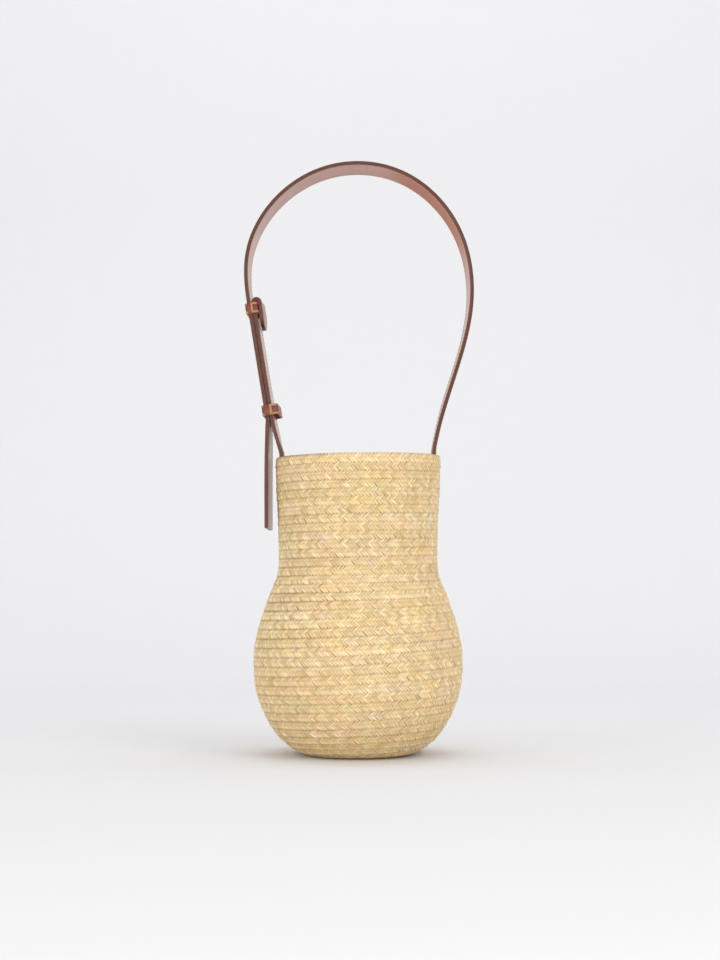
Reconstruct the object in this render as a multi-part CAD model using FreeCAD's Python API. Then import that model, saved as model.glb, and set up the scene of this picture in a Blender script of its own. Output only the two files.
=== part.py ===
import FreeCAD, Part
import math
import os

os.makedirs("parts", exist_ok=True)
V = FreeCAD.Vector

# ---------------------------------------------------------------- dimensions
# millimetres, +Z up, -Y is the front, origin at the centre of the base
WALL = 3.0            # thickness of the straw wall, crest to inside
BASE_R = 45.0         # flat ring the bag stands on
ROW_LOW = 8.5         # width of a plait row on the bulb
ROW_HIGH = 7.6        # width of a plait row on the neck
ROW_DEPTH = 0.8       # groove between two rows

# outer meridian of the straw body, (radius, height) at the crests
PROFILE = [
    (45.0, 0.0), (57.5, 3.9), (65.1, 9.5), (71.8, 15.0), (76.5, 20.6), (80.3, 26.2),
    (83.6, 31.7), (86.4, 37.3), (88.9, 42.9), (91.0, 48.4), (92.8, 54.0), (94.2, 59.5),
    (95.3, 65.1), (96.1, 76.2), (96.4, 87.4), (95.7, 98.5), (94.7, 104.0), (93.6, 109.6),
    (92.4, 115.2), (90.8, 120.7), (89.0, 126.3), (87.1, 131.8), (85.2, 137.4), (83.3, 143.0),
    (81.1, 148.5), (78.8, 154.1), (76.5, 159.7), (74.7, 165.2), (73.8, 170.8), (73.7, 193.0),
    (74.2, 215.3), (74.7, 226.4), (75.5, 237.5), (76.0, 254.2), (76.5, 272.3),
]
RIM_Z = 273.7         # top of the last row

STRAP_W = 30.0        # strap width
LAYER = 1.7           # one leather layer
STRAP_T = 2 * LAYER
SPLAY = 2.0           # how far the rear edge sits inside the front edge
PIVOT_Z = 290.0       # the strap legs bend just above the rim
LEAN_DEG = 3.5        # the raised strap leans back
END_R = STRAP_W / 2   # round end of each leg, about the pivot
TAB_GAP = 0.3
TAB_BOTTOM = 214.0    # how far the sewn-in ends reach down inside

STITCH_IN = 2.6       # stitch line from the strap's edge
THREAD_W = 0.8
THREAD_H = 0.3
SKIN = 0.05

# centre line of the long strap, mid width, in the XZ plane:
# from the upper keeper over the top to the right of the mouth
LONG_ARC = [
    (-101.21, 421.0), (-102.6, 433.22), (-103.25, 445.51), (-102.66, 457.8),
    (-100.44, 469.9), (-96.58, 481.58), (-91.28, 492.68), (-84.73, 503.1),
    (-77.05, 512.72), (-68.34, 521.41), (-58.71, 529.08), (-48.27, 535.59),
    (-37.13, 540.82), (-25.44, 544.63), (-13.35, 546.96), (-1.08, 547.79),
    (11.21, 547.13), (23.32, 544.97), (35.07, 541.31), (46.24, 536.16),
    (56.68, 529.64), (66.26, 521.92), (74.92, 513.17), (82.56, 503.53),
    (89.13, 493.12), (94.54, 482.07), (98.76, 470.51), (101.83, 458.59),
    (103.81, 446.44), (104.73, 434.17), (104.64, 421.86), (103.58, 409.6),
    (101.68, 397.44), (99.09, 385.4), (95.99, 373.49), (92.5, 361.68),
    (88.79, 349.94), (84.98, 338.23), (81.26, 326.51), (77.8, 314.73),
    (74.75, 302.87), (72.2, 290.88), (70.75, 278.8), (70.5, 275.0),
]
U = V(-0.16370492, 0, 0.98650935)     # up along the doubled straps
N = V(0.98650935, 0, 0.16370492)      # across them, towards the bag's axis
A_LOW = V(-82.756, 0, 309.818)        # long strap's centre at the doubled part's foot
PAIR = 4.1                            # long strap centre to short strap centre

KEEPER_H = 10.0
KEEPER_T = 1.8
RUN = 0.3             # running clearance of the loops
LOW_KEEPER_Z = 315.0
LOW_KEEPER_SLACK = 3.5
UP_KEEPER_Z = 410.4
FOLD_R = 2.95         # centre line of the short strap's fold
TIP_Z = 391.6         # end of the folded part

TAIL_END = 206.6
TAIL_TWIST = 2.9


# ---------------------------------------------------------------- helpers
def spline(points):
    c = Part.BSplineCurve()
    c.interpolate(points)
    return c


def save(shape, name):
    shape.exportStep("parts/" + name + ".step")


def one(shape):
    return shape.Solids[0] if len(shape.Solids) == 1 else shape


# ---------------------------------------------------------------- straw body
meridian = spline([V(r, 0, z) for r, z in PROFILE])
m_len = meridian.length()


def on_meridian(s, inset):
    p = meridian.parameterAtDistance(min(max(s, 0.0), m_len), meridian.FirstParameter)
    q = meridian.value(p)
    t = meridian.tangent(p)[0]
    return V(q.x - t.z * inset, 0, q.z + t.x * inset)


# row edges along the meridian: wide rows on the bulb, narrower on the neck
edges_s = [0.0]
while True:
    z_here = on_meridian(edges_s[-1], 0).z
    k = min(max((z_here - 90.0) / 120.0, 0.0), 1.0)
    pitch = ROW_LOW + (ROW_HIGH - ROW_LOW) * k
    if edges_s[-1] + pitch * 1.4 > m_len:
        edges_s.append(m_len)
        break
    edges_s.append(edges_s[-1] + pitch)
rows = len(edges_s) - 1

valleys = [V(BASE_R, 0, 0)] + [on_meridian(s, ROW_DEPTH) for s in edges_s[1:]]
crests = [on_meridian((edges_s[i] + edges_s[i + 1]) / 2, 0) for i in range(rows)]

inner_line = []
steps = 240
for i in range(steps + 1):
    q = on_meridian(m_len * i / steps, WALL)
    if q.z >= WALL:
        inner_line.append(q)
inner_line[0] = V(inner_line[0].x, 0, WALL)


def inner_at(z):
    for a, b in zip(inner_line[:-1], inner_line[1:]):
        if a.z <= z <= b.z:
            k = (z - a.z) / (b.z - a.z) if b.z > a.z else 0
            return V(a.x + (b.x - a.x) * k, 0, z)
    return V(inner_line[-1].x, 0, z)


def inner_edge(z0, z1, count=14):
    pts = [inner_at(z0 + (z1 - z0) * i / count) for i in range(count + 1)]
    return spline(pts).toShape()


def row_arcs(i0, i1):
    return [Part.Arc(valleys[i], crests[i], valleys[i + 1]).toShape() for i in range(i0, i1)]


def turned(edges):
    wire = Part.Wire(Part.__sortEdges__(edges))
    solid = Part.Face(wire).revolve(V(0, 0, 0), V(0, 0, 1), 360)
    return one(solid)


def straw_ring(i0, i1, close_top=False):
    lo, hi = valleys[i0], valleys[i1]
    a = inner_at(lo.z)
    b = inner_at(hi.z)
    edges = row_arcs(i0, i1)
    edges.append(Part.makeLine(lo, a))
    edges.append(inner_edge(lo.z, hi.z))
    if close_top:
        mid = V((hi.x + b.x) / 2, 0, RIM_Z)
        edges.append(Part.Arc(hi, mid, b).toShape())
    else:
        edges.append(Part.makeLine(hi, b))
    return turned(edges)


def row_at(z):
    return min(range(1, rows), key=lambda i: abs(valleys[i].z - z))


# the one coiled plait is cut between rows into short rings that touch
cuts = [row_at(z) for z in (21.0, 54.0, 96.0, 132.0, 166.0, 211.0)]
i_base = cuts[0]

hi = valleys[i_base]
b = inner_at(hi.z)
foot = inner_line[0]
base_edges = [Part.makeLine(V(0, 0, 0), V(BASE_R, 0, 0))] + row_arcs(0, i_base)
base_edges += [Part.makeLine(hi, b),
               spline([inner_at(WALL + (hi.z - WALL) * i / 12.0) for i in range(13)]).toShape(),
               Part.makeLine(foot, V(0, 0, WALL)), Part.makeLine(V(0, 0, WALL), V(0, 0, 0))]
save(turned(base_edges), "straw_base")
ring_names = ["straw_bulb_foot", "straw_bulb_lower", "straw_bulb_upper", "straw_shoulder", "straw_neck"]
for ring_name, lo_row, hi_row in zip(ring_names, cuts[:-1], cuts[1:]):
    save(straw_ring(lo_row, hi_row), ring_name)
save(straw_ring(cuts[-1], rows, True), "straw_collar")


# ---------------------------------------------------------------- leather strips
class Path:
    def __init__(self, points):
        self.c = spline(points)
        self.length = self.c.length()

    def at(self, s):
        p = self.c.parameterAtDistance(min(max(s, 0.0), self.length), self.c.FirstParameter)
        return self.c.value(p), self.c.tangent(p)[0]

    def near_z(self, z, left):
        best = None
        n = 600
        for i in range(n + 1):
            s = self.length * i / n
            q = self.at(s)[0]
            if (q.x < 0) == left:
                d = abs(q.z - z)
                if best is None or d < best[0]:
                    best = (d, s)
        return best[1]


def strip(path, s0, s1, lo, hi, w0, w1, splay, step=5.0, fine=None):
    """solid strip along a path: lo..hi across the thickness (positive is the
    side the strap shows outwards), w0..w1 across the width"""
    n = max(6, int((s1 - s0) / step))
    samples = [s0 + (s1 - s0) * i / n for i in range(n + 1)]
    if fine:
        # short steps only round a tight fold
        a, b = fine
        m = int((a - s0) / step)
        samples = [s0 + (a - s0) * i / m for i in range(m)]
        samples += [a + (b - a) * i / 14.0 for i in range(15)]
        m = int((s1 - b) / 2.4)
        samples += [b + (s1 - b) * (i + 1) / m for i in range(m)]

    def rail(off, w):
        pts = []
        for s in samples:
            q, t = path.at(s)
            side = V(-t.z, 0, t.x)
            shift = -splay(s) * w / STRAP_W
            pts.append(V(q.x, w, q.z) + side * (off + shift))
        return pts

    wires = []
    for w in (w0, w1):
        a = rail(lo, w)
        b = rail(hi, w)
        wires.append(Part.Wire([
            spline(a).toShape(), Part.makeLine(a[-1], b[-1]),
            spline(list(reversed(b))).toShape(), Part.makeLine(b[0], a[0])]))
    return Part.makeLoft(wires, True, True)


def lean(shape):
    s = shape.copy()
    s.rotate(V(0, 0, PIVOT_Z), V(1, 0, 0), -LEAN_DEG)
    return s


TWIST = math.degrees(math.atan2(SPLAY, STRAP_W))


def place_local(shape, point):
    # local x = across the straps towards the bag, y = width, z = along them
    m = FreeCAD.Matrix(N.x, 0, U.x, 0, 0, 1, 0, 0, N.z, 0, U.z, 0, 0, 0, 0, 1)
    s = shape.copy()
    s.rotate(V(0, 0, 0), V(0, 0, 1), -TWIST)
    s.Placement = FreeCAD.Placement(point, FreeCAD.Rotation(m)).multiply(s.Placement)
    return s


def ramp(x, a, b):
    k = min(max((x - a) / (b - a), 0.0), 1.0)
    return k * k * (3 - 2 * k)


# long strap: foot of the doubled part, straight up, over the top, right leg
A_TOP = V(-101.21, 0, 421.0)
straight = [A_LOW + U * d for d in [0, 12, 24, 36, 48, 60, 72, 84, 96, 106]]
long_path = Path(straight + [V(x, 0, z) for x, z in LONG_ARC[1:]])
# the path runs clockwise, so its left-hand normal points outwards


def long_splay(s):
    return SPLAY * ramp(long_path.length - s, 12, 70)


# the disc that turns about the pivot line, and everything above it
def round_end(shape):
    box = Part.makeBox(400, 60, 400, V(-200, -30, PIVOT_Z))
    disc = Part.makeCylinder(END_R, 400, V(-200, 0, PIVOT_Z), V(1, 0, 0))
    return one(shape.common(box.fuse(disc)))


ll = long_path.length
long_outer = round_end(strip(long_path, 0, ll, 0, LAYER, -STRAP_W / 2, STRAP_W / 2, long_splay))
long_lining = round_end(strip(long_path, 0, ll, -LAYER, 0, -STRAP_W / 2, STRAP_W / 2, long_splay))
save(lean(long_outer), "long_strap_outer")
save(lean(long_lining), "long_strap_lining")

ts0 = 122.0                      # the thread starts above the upper keeper
ts1 = ll - 18.0
threads = []
for side in (-1, 1):
    w = side * (STRAP_W / 2 - STITCH_IN)
    for lo, hi_ in ((STRAP_T / 2 + SKIN, STRAP_T / 2 + SKIN + THREAD_H),
                    (-STRAP_T / 2 - SKIN - THREAD_H, -STRAP_T / 2 - SKIN)):
        threads.append(lean(strip(long_path, ts0, ts1, lo, hi_, w - THREAD_W / 2, w + THREAD_W / 2, long_splay)))
save(Part.makeCompound(threads), "long_strap_thread")

# short strap: mouth, up beside the long strap, fold over the upper keeper.
# drawn in the doubled straps' own frame: x across them, y width, z along them
def local(p):
    d = p - A_LOW
    return V(d.dot(N), 0, d.dot(U))


def high(z):
    return (z - (A_LOW + N * PAIR).z) / U.z


LEG_LOW = [V(-71.05, 0, 274.6), V(-72.5, 0, 281.5), V(-74.15, 0, 289.0), V(-75.9, 0, 297.0)]
low_path = Path([local(q) for q in LEG_LOW] + [V(PAIR, 0, -3.0), V(PAIR, 0, 2.0), V(PAIR, 0, 8.0)])
fold_u = high(UP_KEEPER_Z) + KEEPER_H / 2 + 1.0
back_v = PAIR + 2 * FOLD_R
tip_v, tip_u = PAIR + 4.9, high(TIP_Z)


def short_rail(off):
    pts = []
    for i in range(13):
        q, t = low_path.at(low_path.length * i / 12.0)
        pts.append(q + V(-t.z, 0, t.x) * off)
    x = PAIR - off
    pts[-1] = V(x, 0, 8.0)
    r = FOLD_R + off
    foot_u = fold_u - KEEPER_H - 2.6
    start = V(x, 0, fold_u)
    end = V(back_v + off, 0, fold_u)
    knee = V(back_v + off, 0, foot_u)
    tip = V(tip_v + off, 0, tip_u)
    edges = [spline(pts).toShape(), Part.makeLine(pts[-1], start),
             Part.Arc(start, V(PAIR + FOLD_R, 0, fold_u + r), end).toShape(),
             Part.makeLine(end, knee), Part.makeLine(knee, tip)]
    return edges, pts[0], tip


def short_layer(lo, hi_):
    ea, a0, a1 = short_rail(lo)
    eb, b0, b1 = short_rail(hi_)
    wire = Part.Wire(Part.__sortEdges__(ea + [Part.makeLine(a1, b1)] + eb + [Part.makeLine(b0, a0)]))
    body = Part.Face(wire)
    body.translate(V(0, -STRAP_W / 2, 0))
    body = body.extrude(V(0, STRAP_W, 0))
    # the folded part ends in a round tip, seen from the side
    corner = Part.makeBox(6.0, 44, 20, V(tip_v - 2.4, -22, tip_u - 3))
    corner = corner.cut(Part.makeCylinder(17.0, 8.0, V(tip_v - 3.4, 0, tip_u + 17.0), V(1, 0, 0)))
    return round_end(place_local(body.cut(corner), A_LOW))


save(lean(short_layer(0, LAYER)), "short_strap_outer")
save(lean(short_layer(-LAYER, 0)), "short_strap_lining")


def level(s):
    return 0.0


tip_p, knee_p = V(tip_v, 0, tip_u), V(back_v, 0, fold_u - KEEPER_H - 2.6)
fold_face = Path([tip_p + (knee_p - tip_p) * (i / 4.0) for i in range(5)])
threads = []
for side in (-1, 1):
    w = side * (STRAP_W / 2 - STITCH_IN)
    # inner face of the lower leg, and the folded part's face
    threads.append(lean(place_local(strip(low_path, 18, low_path.length - 11.5, -STRAP_T / 2 - SKIN - THREAD_H,
                                          -STRAP_T / 2 - SKIN, w - THREAD_W / 2, w + THREAD_W / 2, level, 3.0), A_LOW)))
    threads.append(lean(place_local(strip(fold_face, 8.5, fold_face.length - 0.5, -STRAP_T / 2 - SKIN - THREAD_H,
                                          -STRAP_T / 2 - SKIN, w - THREAD_W / 2, w + THREAD_W / 2, level, 3.0), A_LOW)))
save(Part.makeCompound(threads), "short_strap_thread")


# ---------------------------------------------------------------- keeper loops
def rounded_prism(x0, x1, y0, y1, r, h):
    box = Part.makeBox(x1 - x0, y1 - y0, h, V(x0, y0, -h / 2))
    edges = [e for e in box.Edges if abs(e.tangentAt(e.FirstParameter).z) > 0.9]
    return box.makeFillet(r, edges)


def place_keeper(shape, z):
    return place_local(shape, A_LOW + U * ((z - A_LOW.z) / U.z))


def keeper(v0, v1, seam):
    """ring with a lap seam on its front face"""
    hw = STRAP_W / 2 + RUN + 0.2
    inner = rounded_prism(v0, v1, -hw, hw, 0.3, KEEPER_H + 2)
    outer = rounded_prism(v0 - KEEPER_T, v1 + KEEPER_T, -hw - KEEPER_T, hw + KEEPER_T, 2.8, KEEPER_H)
    rim = [e for e in outer.Edges if abs(abs(e.CenterOfMass.z) - KEEPER_H / 2) < 1e-6]
    outer = outer.makeFillet(0.5, rim)
    ring = outer.cut(inner)
    # the overlapping end of the lap, a thin plate on the front face
    lap = Part.makeBox(seam - (v0 + 0.6), 1.1, KEEPER_H - 1.0, V(v0 + 0.6, -hw - KEEPER_T - 1.0, -(KEEPER_H - 1.0) / 2))
    lap = lap.makeFillet(0.35, [e for e in lap.Edges if e.CenterOfMass.y < -hw - KEEPER_T - 0.9])
    return one(ring.fuse(lap).removeSplitter())


def keeper_thread(v0, v1, seam):
    """stitches along the lap, just proud of it"""
    hw = STRAP_W / 2 + RUN + 0.2
    y = -hw - KEEPER_T - 1.0 - SKIN - THREAD_H
    x = seam - 1.6
    out = []
    for k in (-1, 0, 1):
        out.append(Part.makeBox(THREAD_W, THREAD_H, 2.2, V(x, y, k * 2.9 - 1.1)))
    return Part.makeCompound(out)


up0, up1 = -STRAP_T / 2 - RUN, PAIR + STRAP_T / 2 + RUN
save(lean(place_keeper(keeper(up0, up1, 3.4), UP_KEEPER_Z)), "upper_keeper")
save(lean(place_keeper(keeper_thread(up0, up1, 3.4), UP_KEEPER_Z)), "upper_keeper_thread")
lk0, lk1 = up0, up1 + LOW_KEEPER_SLACK
save(lean(place_keeper(keeper(lk0, lk1, 5.6), LOW_KEEPER_Z)), "lower_keeper")
save(lean(place_keeper(keeper_thread(lk0, lk1, 5.6), LOW_KEEPER_Z)), "lower_keeper_thread")


# ---------------------------------------------------------------- free tail
# its round top turns about a line just under the long strap's foot
HINGE = A_LOW - U * (TAB_GAP + STRAP_T / 2)
tail_pts = []
drop = HINGE.z - TAIL_END
for i in range(13):
    d = -3.0 + (drop + 3.0) * i / 12.0
    tail_pts.append(V(HINGE.x, 0, HINGE.z - d))
tail_path = Path(tail_pts)


def tail_splay(s):
    # width line turned like the strap's at the top, a little more lower down
    return -(SPLAY + (TAIL_TWIST - SPLAY) * ramp(s, 5, 40))


# the tail runs downwards, so its left-hand normal points to the bag
hinge_dir = V(0, 1, 0) + N * (SPLAY / STRAP_W)
hinge_dir.normalize()


def tail_layer(lo, hi_):
    body = strip(tail_path, 0, tail_path.length, lo, hi_, -STRAP_W / 2, STRAP_W / 2, tail_splay)
    box = Part.makeBox(60, 60, 200, V(HINGE.x - 30, -30, HINGE.z - 200))
    pin = Part.makeCylinder(STRAP_T / 2, 80, HINGE - hinge_dir * 40, hinge_dir)
    return one(body.common(box.fuse(pin)))


save(lean(tail_layer(-LAYER, 0)), "tail_outer")
save(lean(tail_layer(0, LAYER)), "tail_lining")
threads = []
for side in (-1, 1):
    w = side * (STRAP_W / 2 - STITCH_IN)
    for lo, hi_ in ((STRAP_T / 2 + SKIN, STRAP_T / 2 + SKIN + THREAD_H),
                    (-STRAP_T / 2 - SKIN - THREAD_H, -STRAP_T / 2 - SKIN)):
        threads.append(lean(strip(tail_path, 8, tail_path.length - 3.0, lo, hi_, w - THREAD_W / 2, w + THREAD_W / 2, tail_splay)))
save(Part.makeCompound(threads), "tail_thread")


# ---------------------------------------------------------------- sewn-in ends
def wall_band(off0, off1, z0, z1, sign):
    """a piece of the band lying off0..off1 inside the straw wall"""
    zs = [z0 + (min(z1, 271.0) - z0) * i / 10.0 for i in range(11)]
    pa, pb = [], []
    for z in zs:
        r = inner_at(z).x
        pa.append(V(r - off0, 0, z))
        pb.append(V(r - off1, 0, z))
    if z1 > 271.0:
        pa.append(V(pa[-1].x, 0, z1))
        pb.append(V(pb[-1].x, 0, z1))
    wire = Part.Wire([spline(pa).toShape(), Part.makeLine(pa[-1], pb[-1]),
                      spline(list(reversed(pb))).toShape(), Part.makeLine(pb[0], pa[0])])
    face = Part.Face(wire)
    face.rotate(V(0, 0, 0), V(0, 0, 1), -20 if sign > 0 else 160)
    solid = face.revolve(V(0, 0, 0), V(0, 0, 1), 40)
    box = Part.makeBox(100, STRAP_W, 200, V(0 if sign > 0 else -100, -STRAP_W / 2, 150))
    return one(solid.common(box))


tab_top = PIVOT_Z - END_R - TAB_GAP
for sign, side in ((-1, "left"), (1, "right")):
    save(wall_band(SKIN, LAYER, TAB_BOTTOM, tab_top, sign), side + "_tab_outer")
    save(wall_band(LAYER, STRAP_T, TAB_BOTTOM, tab_top, sign), side + "_tab_lining")

    # thread through wall and leather: two bars of stitches
    out = []
    for z in (264.0, 244.0, 224.0):
        r_in = inner_at(z).x
        for k in (-2, -1, 0, 1, 2):
            if z == 244.0 and abs(k) < 2:
                continue
            ang = math.radians(k * 4.4)
            half = math.radians(1.75)
            ends = []
            for a in (ang - half, ang + half):
                d = V(sign * math.cos(a), math.sin(a), 0)
                out_pin = Part.makeCylinder(0.45, WALL + STRAP_T + 1.2, d * (r_in - STRAP_T - 0.6) + V(0, 0, z), d)
                ends.append(out_pin)
            rin = r_in - STRAP_T - 0.6
            rout = r_in + WALL + 0.6
            bars = []
            for r in (rin, rout):
                p0 = V(sign * r * math.cos(ang - half), r * math.sin(ang - half), z)
                p1 = V(sign * r * math.cos(ang + half), r * math.sin(ang + half), z)
                bars.append(Part.makeCylinder(0.45, (p1 - p0).Length, p0, p1 - p0))
                for p in (p0, p1):
                    bars.append(Part.makeSphere(0.45, p))
            st = ends[0].fuse([ends[1]] + bars)
            out.append(one(st))
    save(Part.makeCompound(out), side + "_anchor_stitches")
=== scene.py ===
import math
import bpy
import numpy as np
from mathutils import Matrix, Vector


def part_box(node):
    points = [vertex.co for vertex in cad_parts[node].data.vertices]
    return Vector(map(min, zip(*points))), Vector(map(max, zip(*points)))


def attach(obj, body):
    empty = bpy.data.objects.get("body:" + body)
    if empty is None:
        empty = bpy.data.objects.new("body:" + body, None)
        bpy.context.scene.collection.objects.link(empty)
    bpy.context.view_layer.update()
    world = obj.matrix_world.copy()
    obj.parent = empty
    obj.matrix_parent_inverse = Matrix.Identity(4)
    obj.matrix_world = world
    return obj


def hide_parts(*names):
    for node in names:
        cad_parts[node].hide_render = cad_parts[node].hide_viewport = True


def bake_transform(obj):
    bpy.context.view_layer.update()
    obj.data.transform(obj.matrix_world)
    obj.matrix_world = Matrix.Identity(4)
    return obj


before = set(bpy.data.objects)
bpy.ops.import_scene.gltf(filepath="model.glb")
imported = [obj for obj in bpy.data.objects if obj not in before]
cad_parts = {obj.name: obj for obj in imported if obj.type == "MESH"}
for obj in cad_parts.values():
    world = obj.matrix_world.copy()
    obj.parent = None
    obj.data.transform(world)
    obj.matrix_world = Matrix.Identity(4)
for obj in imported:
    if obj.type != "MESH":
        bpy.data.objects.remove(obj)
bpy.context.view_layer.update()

MM = 0.001
rng = np.random.default_rng(7)

# ------------------------------------------------------------------ sizes, mm
PROFILE = np.array([
    (45.0, 0.0), (57.5, 3.9), (65.1, 9.5), (71.8, 15.0), (76.5, 20.6), (80.3, 26.2),
    (83.6, 31.7), (86.4, 37.3), (88.9, 42.9), (91.0, 48.4), (92.8, 54.0), (94.2, 59.5),
    (95.3, 65.1), (96.1, 76.2), (96.4, 87.4), (95.7, 98.5), (94.7, 104.0), (93.6, 109.6),
    (92.4, 115.2), (90.8, 120.7), (89.0, 126.3), (87.1, 131.8), (85.2, 137.4), (83.3, 143.0),
    (81.1, 148.5), (78.8, 154.1), (76.5, 159.7), (74.7, 165.2), (73.8, 170.8), (73.7, 193.0),
    (74.2, 215.3), (74.7, 226.4), (75.5, 237.5), (76.0, 254.2), (76.5, 272.3)])
WALL = 3.0
OVERLAP = 1.3          # how far each row covers the one below
ARM = 3.3              # spacing of the straws along the plait
STRAP_W, LAYER = 30.0, 1.7
STRAP_T = 2 * LAYER
SPLAY, PIVOT_Z, LEAN = 2.0, 290.0, math.radians(3.5)
LONG_ARC = [
    (-102.6, 433.22), (-103.25, 445.51), (-102.66, 457.8),
    (-100.44, 469.9), (-96.58, 481.58), (-91.28, 492.68), (-84.73, 503.1),
    (-77.05, 512.72), (-68.34, 521.41), (-58.71, 529.08), (-48.27, 535.59),
    (-37.13, 540.82), (-25.44, 544.63), (-13.35, 546.96), (-1.08, 547.79),
    (11.21, 547.13), (23.32, 544.97), (35.07, 541.31), (46.24, 536.16),
    (56.68, 529.64), (66.26, 521.92), (74.92, 513.17), (82.56, 503.53),
    (89.13, 493.12), (94.54, 482.07), (98.76, 470.51), (101.83, 458.59),
    (103.81, 446.44), (104.73, 434.17), (104.64, 421.86), (103.58, 409.6),
    (101.68, 397.44), (99.09, 385.4), (95.99, 373.49), (92.5, 361.68),
    (88.79, 349.94), (84.98, 338.23), (81.26, 326.51), (77.8, 314.73),
    (74.75, 302.87), (72.2, 290.88), (70.75, 278.8)]
U = np.array([-0.16370492, 0, 0.98650935])
N = np.array([0.98650935, 0, 0.16370492])
A_LOW = np.array([-82.756, 0, 309.818])
PAIR, FOLD_R = 4.1, 2.95
TWIST = math.atan2(SPLAY, STRAP_W)
KEEPER_H, KEEPER_T, RUN = 10.0, 1.8, 0.3
UP_KEEPER_Z, LOW_KEEPER_Z, TIP_Z, TAIL_END = 410.4, 315.0, 391.6, 206.6


# ------------------------------------------------------------------ small maths
def cubic(points, count):
    """natural cubic spline through 2-D points, chord-length parameter"""
    p = np.asarray(points, float)
    t = np.concatenate([[0], np.cumsum(np.hypot(*np.diff(p, axis=0).T))])
    n, h = len(p), np.diff(t)
    m = np.zeros((n, n))
    rhs = np.zeros((n, 2))
    m[0, 0] = m[-1, -1] = 1
    for i in range(1, n - 1):
        m[i, i - 1], m[i, i], m[i, i + 1] = h[i - 1], 2 * (h[i - 1] + h[i]), h[i]
        rhs[i] = 6 * ((p[i + 1] - p[i]) / h[i] - (p[i] - p[i - 1]) / h[i - 1])
    k = np.linalg.solve(m, rhs)
    u = np.linspace(0, t[-1], count)
    i = np.clip(np.searchsorted(t, u) - 1, 0, n - 2)
    a, b = (t[i + 1] - u)[:, None], (u - t[i])[:, None]
    hh = h[i][:, None]
    return (k[i] * a ** 3 + k[i + 1] * b ** 3) / (6 * hh) + (p[i] / hh - k[i] * hh / 6) * a + (p[i + 1] / hh - k[i + 1] * hh / 6) * b


def smooth(x, a, b):
    k = np.clip((x - a) / (b - a), 0, 1)
    return k * k * (3 - 2 * k)


def lean(p, k=1.0):
    """lean back about the pivot line; k may vary from point to point"""
    a = LEAN * np.asarray(k)
    y, z = p[..., 1], p[..., 2] - PIVOT_Z
    q = p.copy()
    q[..., 1] = y * np.cos(a) + z * np.sin(a)
    q[..., 2] = PIVOT_Z - y * np.sin(a) + z * np.cos(a)
    return q


# ------------------------------------------------------------------ mesh helper
def make(name, verts, faces, uv=None, colors=None, cav=None, smooth_shade=True, mats=(), face_mat=None):
    """verts in mm (n,3), faces (m,4) or a list of tuples"""
    me = bpy.data.meshes.new(name)
    v = np.asarray(verts, float).reshape(-1, 3) * MM
    f = np.asarray(faces, np.int32)
    k = f.shape[1]
    me.vertices.add(len(v))
    me.vertices.foreach_set("co", v.astype(np.float32).ravel())
    me.loops.add(f.size)
    me.loops.foreach_set("vertex_index", f.ravel())
    me.polygons.add(len(f))
    me.polygons.foreach_set("loop_start", np.arange(0, f.size, k, dtype=np.int32))
    me.polygons.foreach_set("loop_total", np.full(len(f), k, np.int32))
    if face_mat is not None:
        me.polygons.foreach_set("material_index", np.asarray(face_mat, np.int32))
    me.polygons.foreach_set("use_smooth", np.full(len(f), smooth_shade, bool))
    me.update(calc_edges=True)
    me.validate()
    if uv is not None:
        layer = me.uv_layers.new(name="lay")
        layer.data.foreach_set("uv", np.asarray(uv, np.float32)[f.ravel()].ravel())
    if colors is not None:
        at = me.color_attributes.new("tint", "FLOAT_COLOR", "POINT")
        c = np.ones((len(v), 4), np.float32)
        c[:, :3] = colors
        at.data.foreach_set("color", c.ravel())
    if cav is not None:
        at = me.attributes.new("cav", "FLOAT", "POINT")
        at.data.foreach_set("value", np.asarray(cav, np.float32))
    ob = bpy.data.objects.new(name, me)
    bpy.context.scene.collection.objects.link(ob)
    for m in mats:
        me.materials.append(m)
    return ob


def grid_faces(rows, cols, close_rows=False, close_cols=False):
    r = np.arange(rows if close_rows else rows - 1)
    c = np.arange(cols if close_cols else cols - 1)
    i, j = np.meshgrid(r, c, indexing="ij")
    i2, j2 = (i + 1) % rows, (j + 1) % cols
    return np.stack([i * cols + j, i * cols + j2, i2 * cols + j2, i2 * cols + j], -1).reshape(-1, 4)


# ------------------------------------------------------------------ materials
def srgb(r, g, b):
    return [((c / 255) / 12.92 if c <= 10 else ((c / 255 + 0.055) / 1.055) ** 2.4) for c in (r, g, b)]


def new_mat(name):
    m = bpy.data.materials.new(name)
    m.use_nodes = True
    nt = m.node_tree
    bsdf = nt.nodes.get("Principled BSDF") or nt.nodes.new("ShaderNodeBsdfPrincipled")
    out = nt.nodes.get("Material Output") or nt.nodes.new("ShaderNodeOutputMaterial")
    nt.links.new(bsdf.outputs[0], out.inputs[0])
    return m, nt, bsdf


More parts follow.
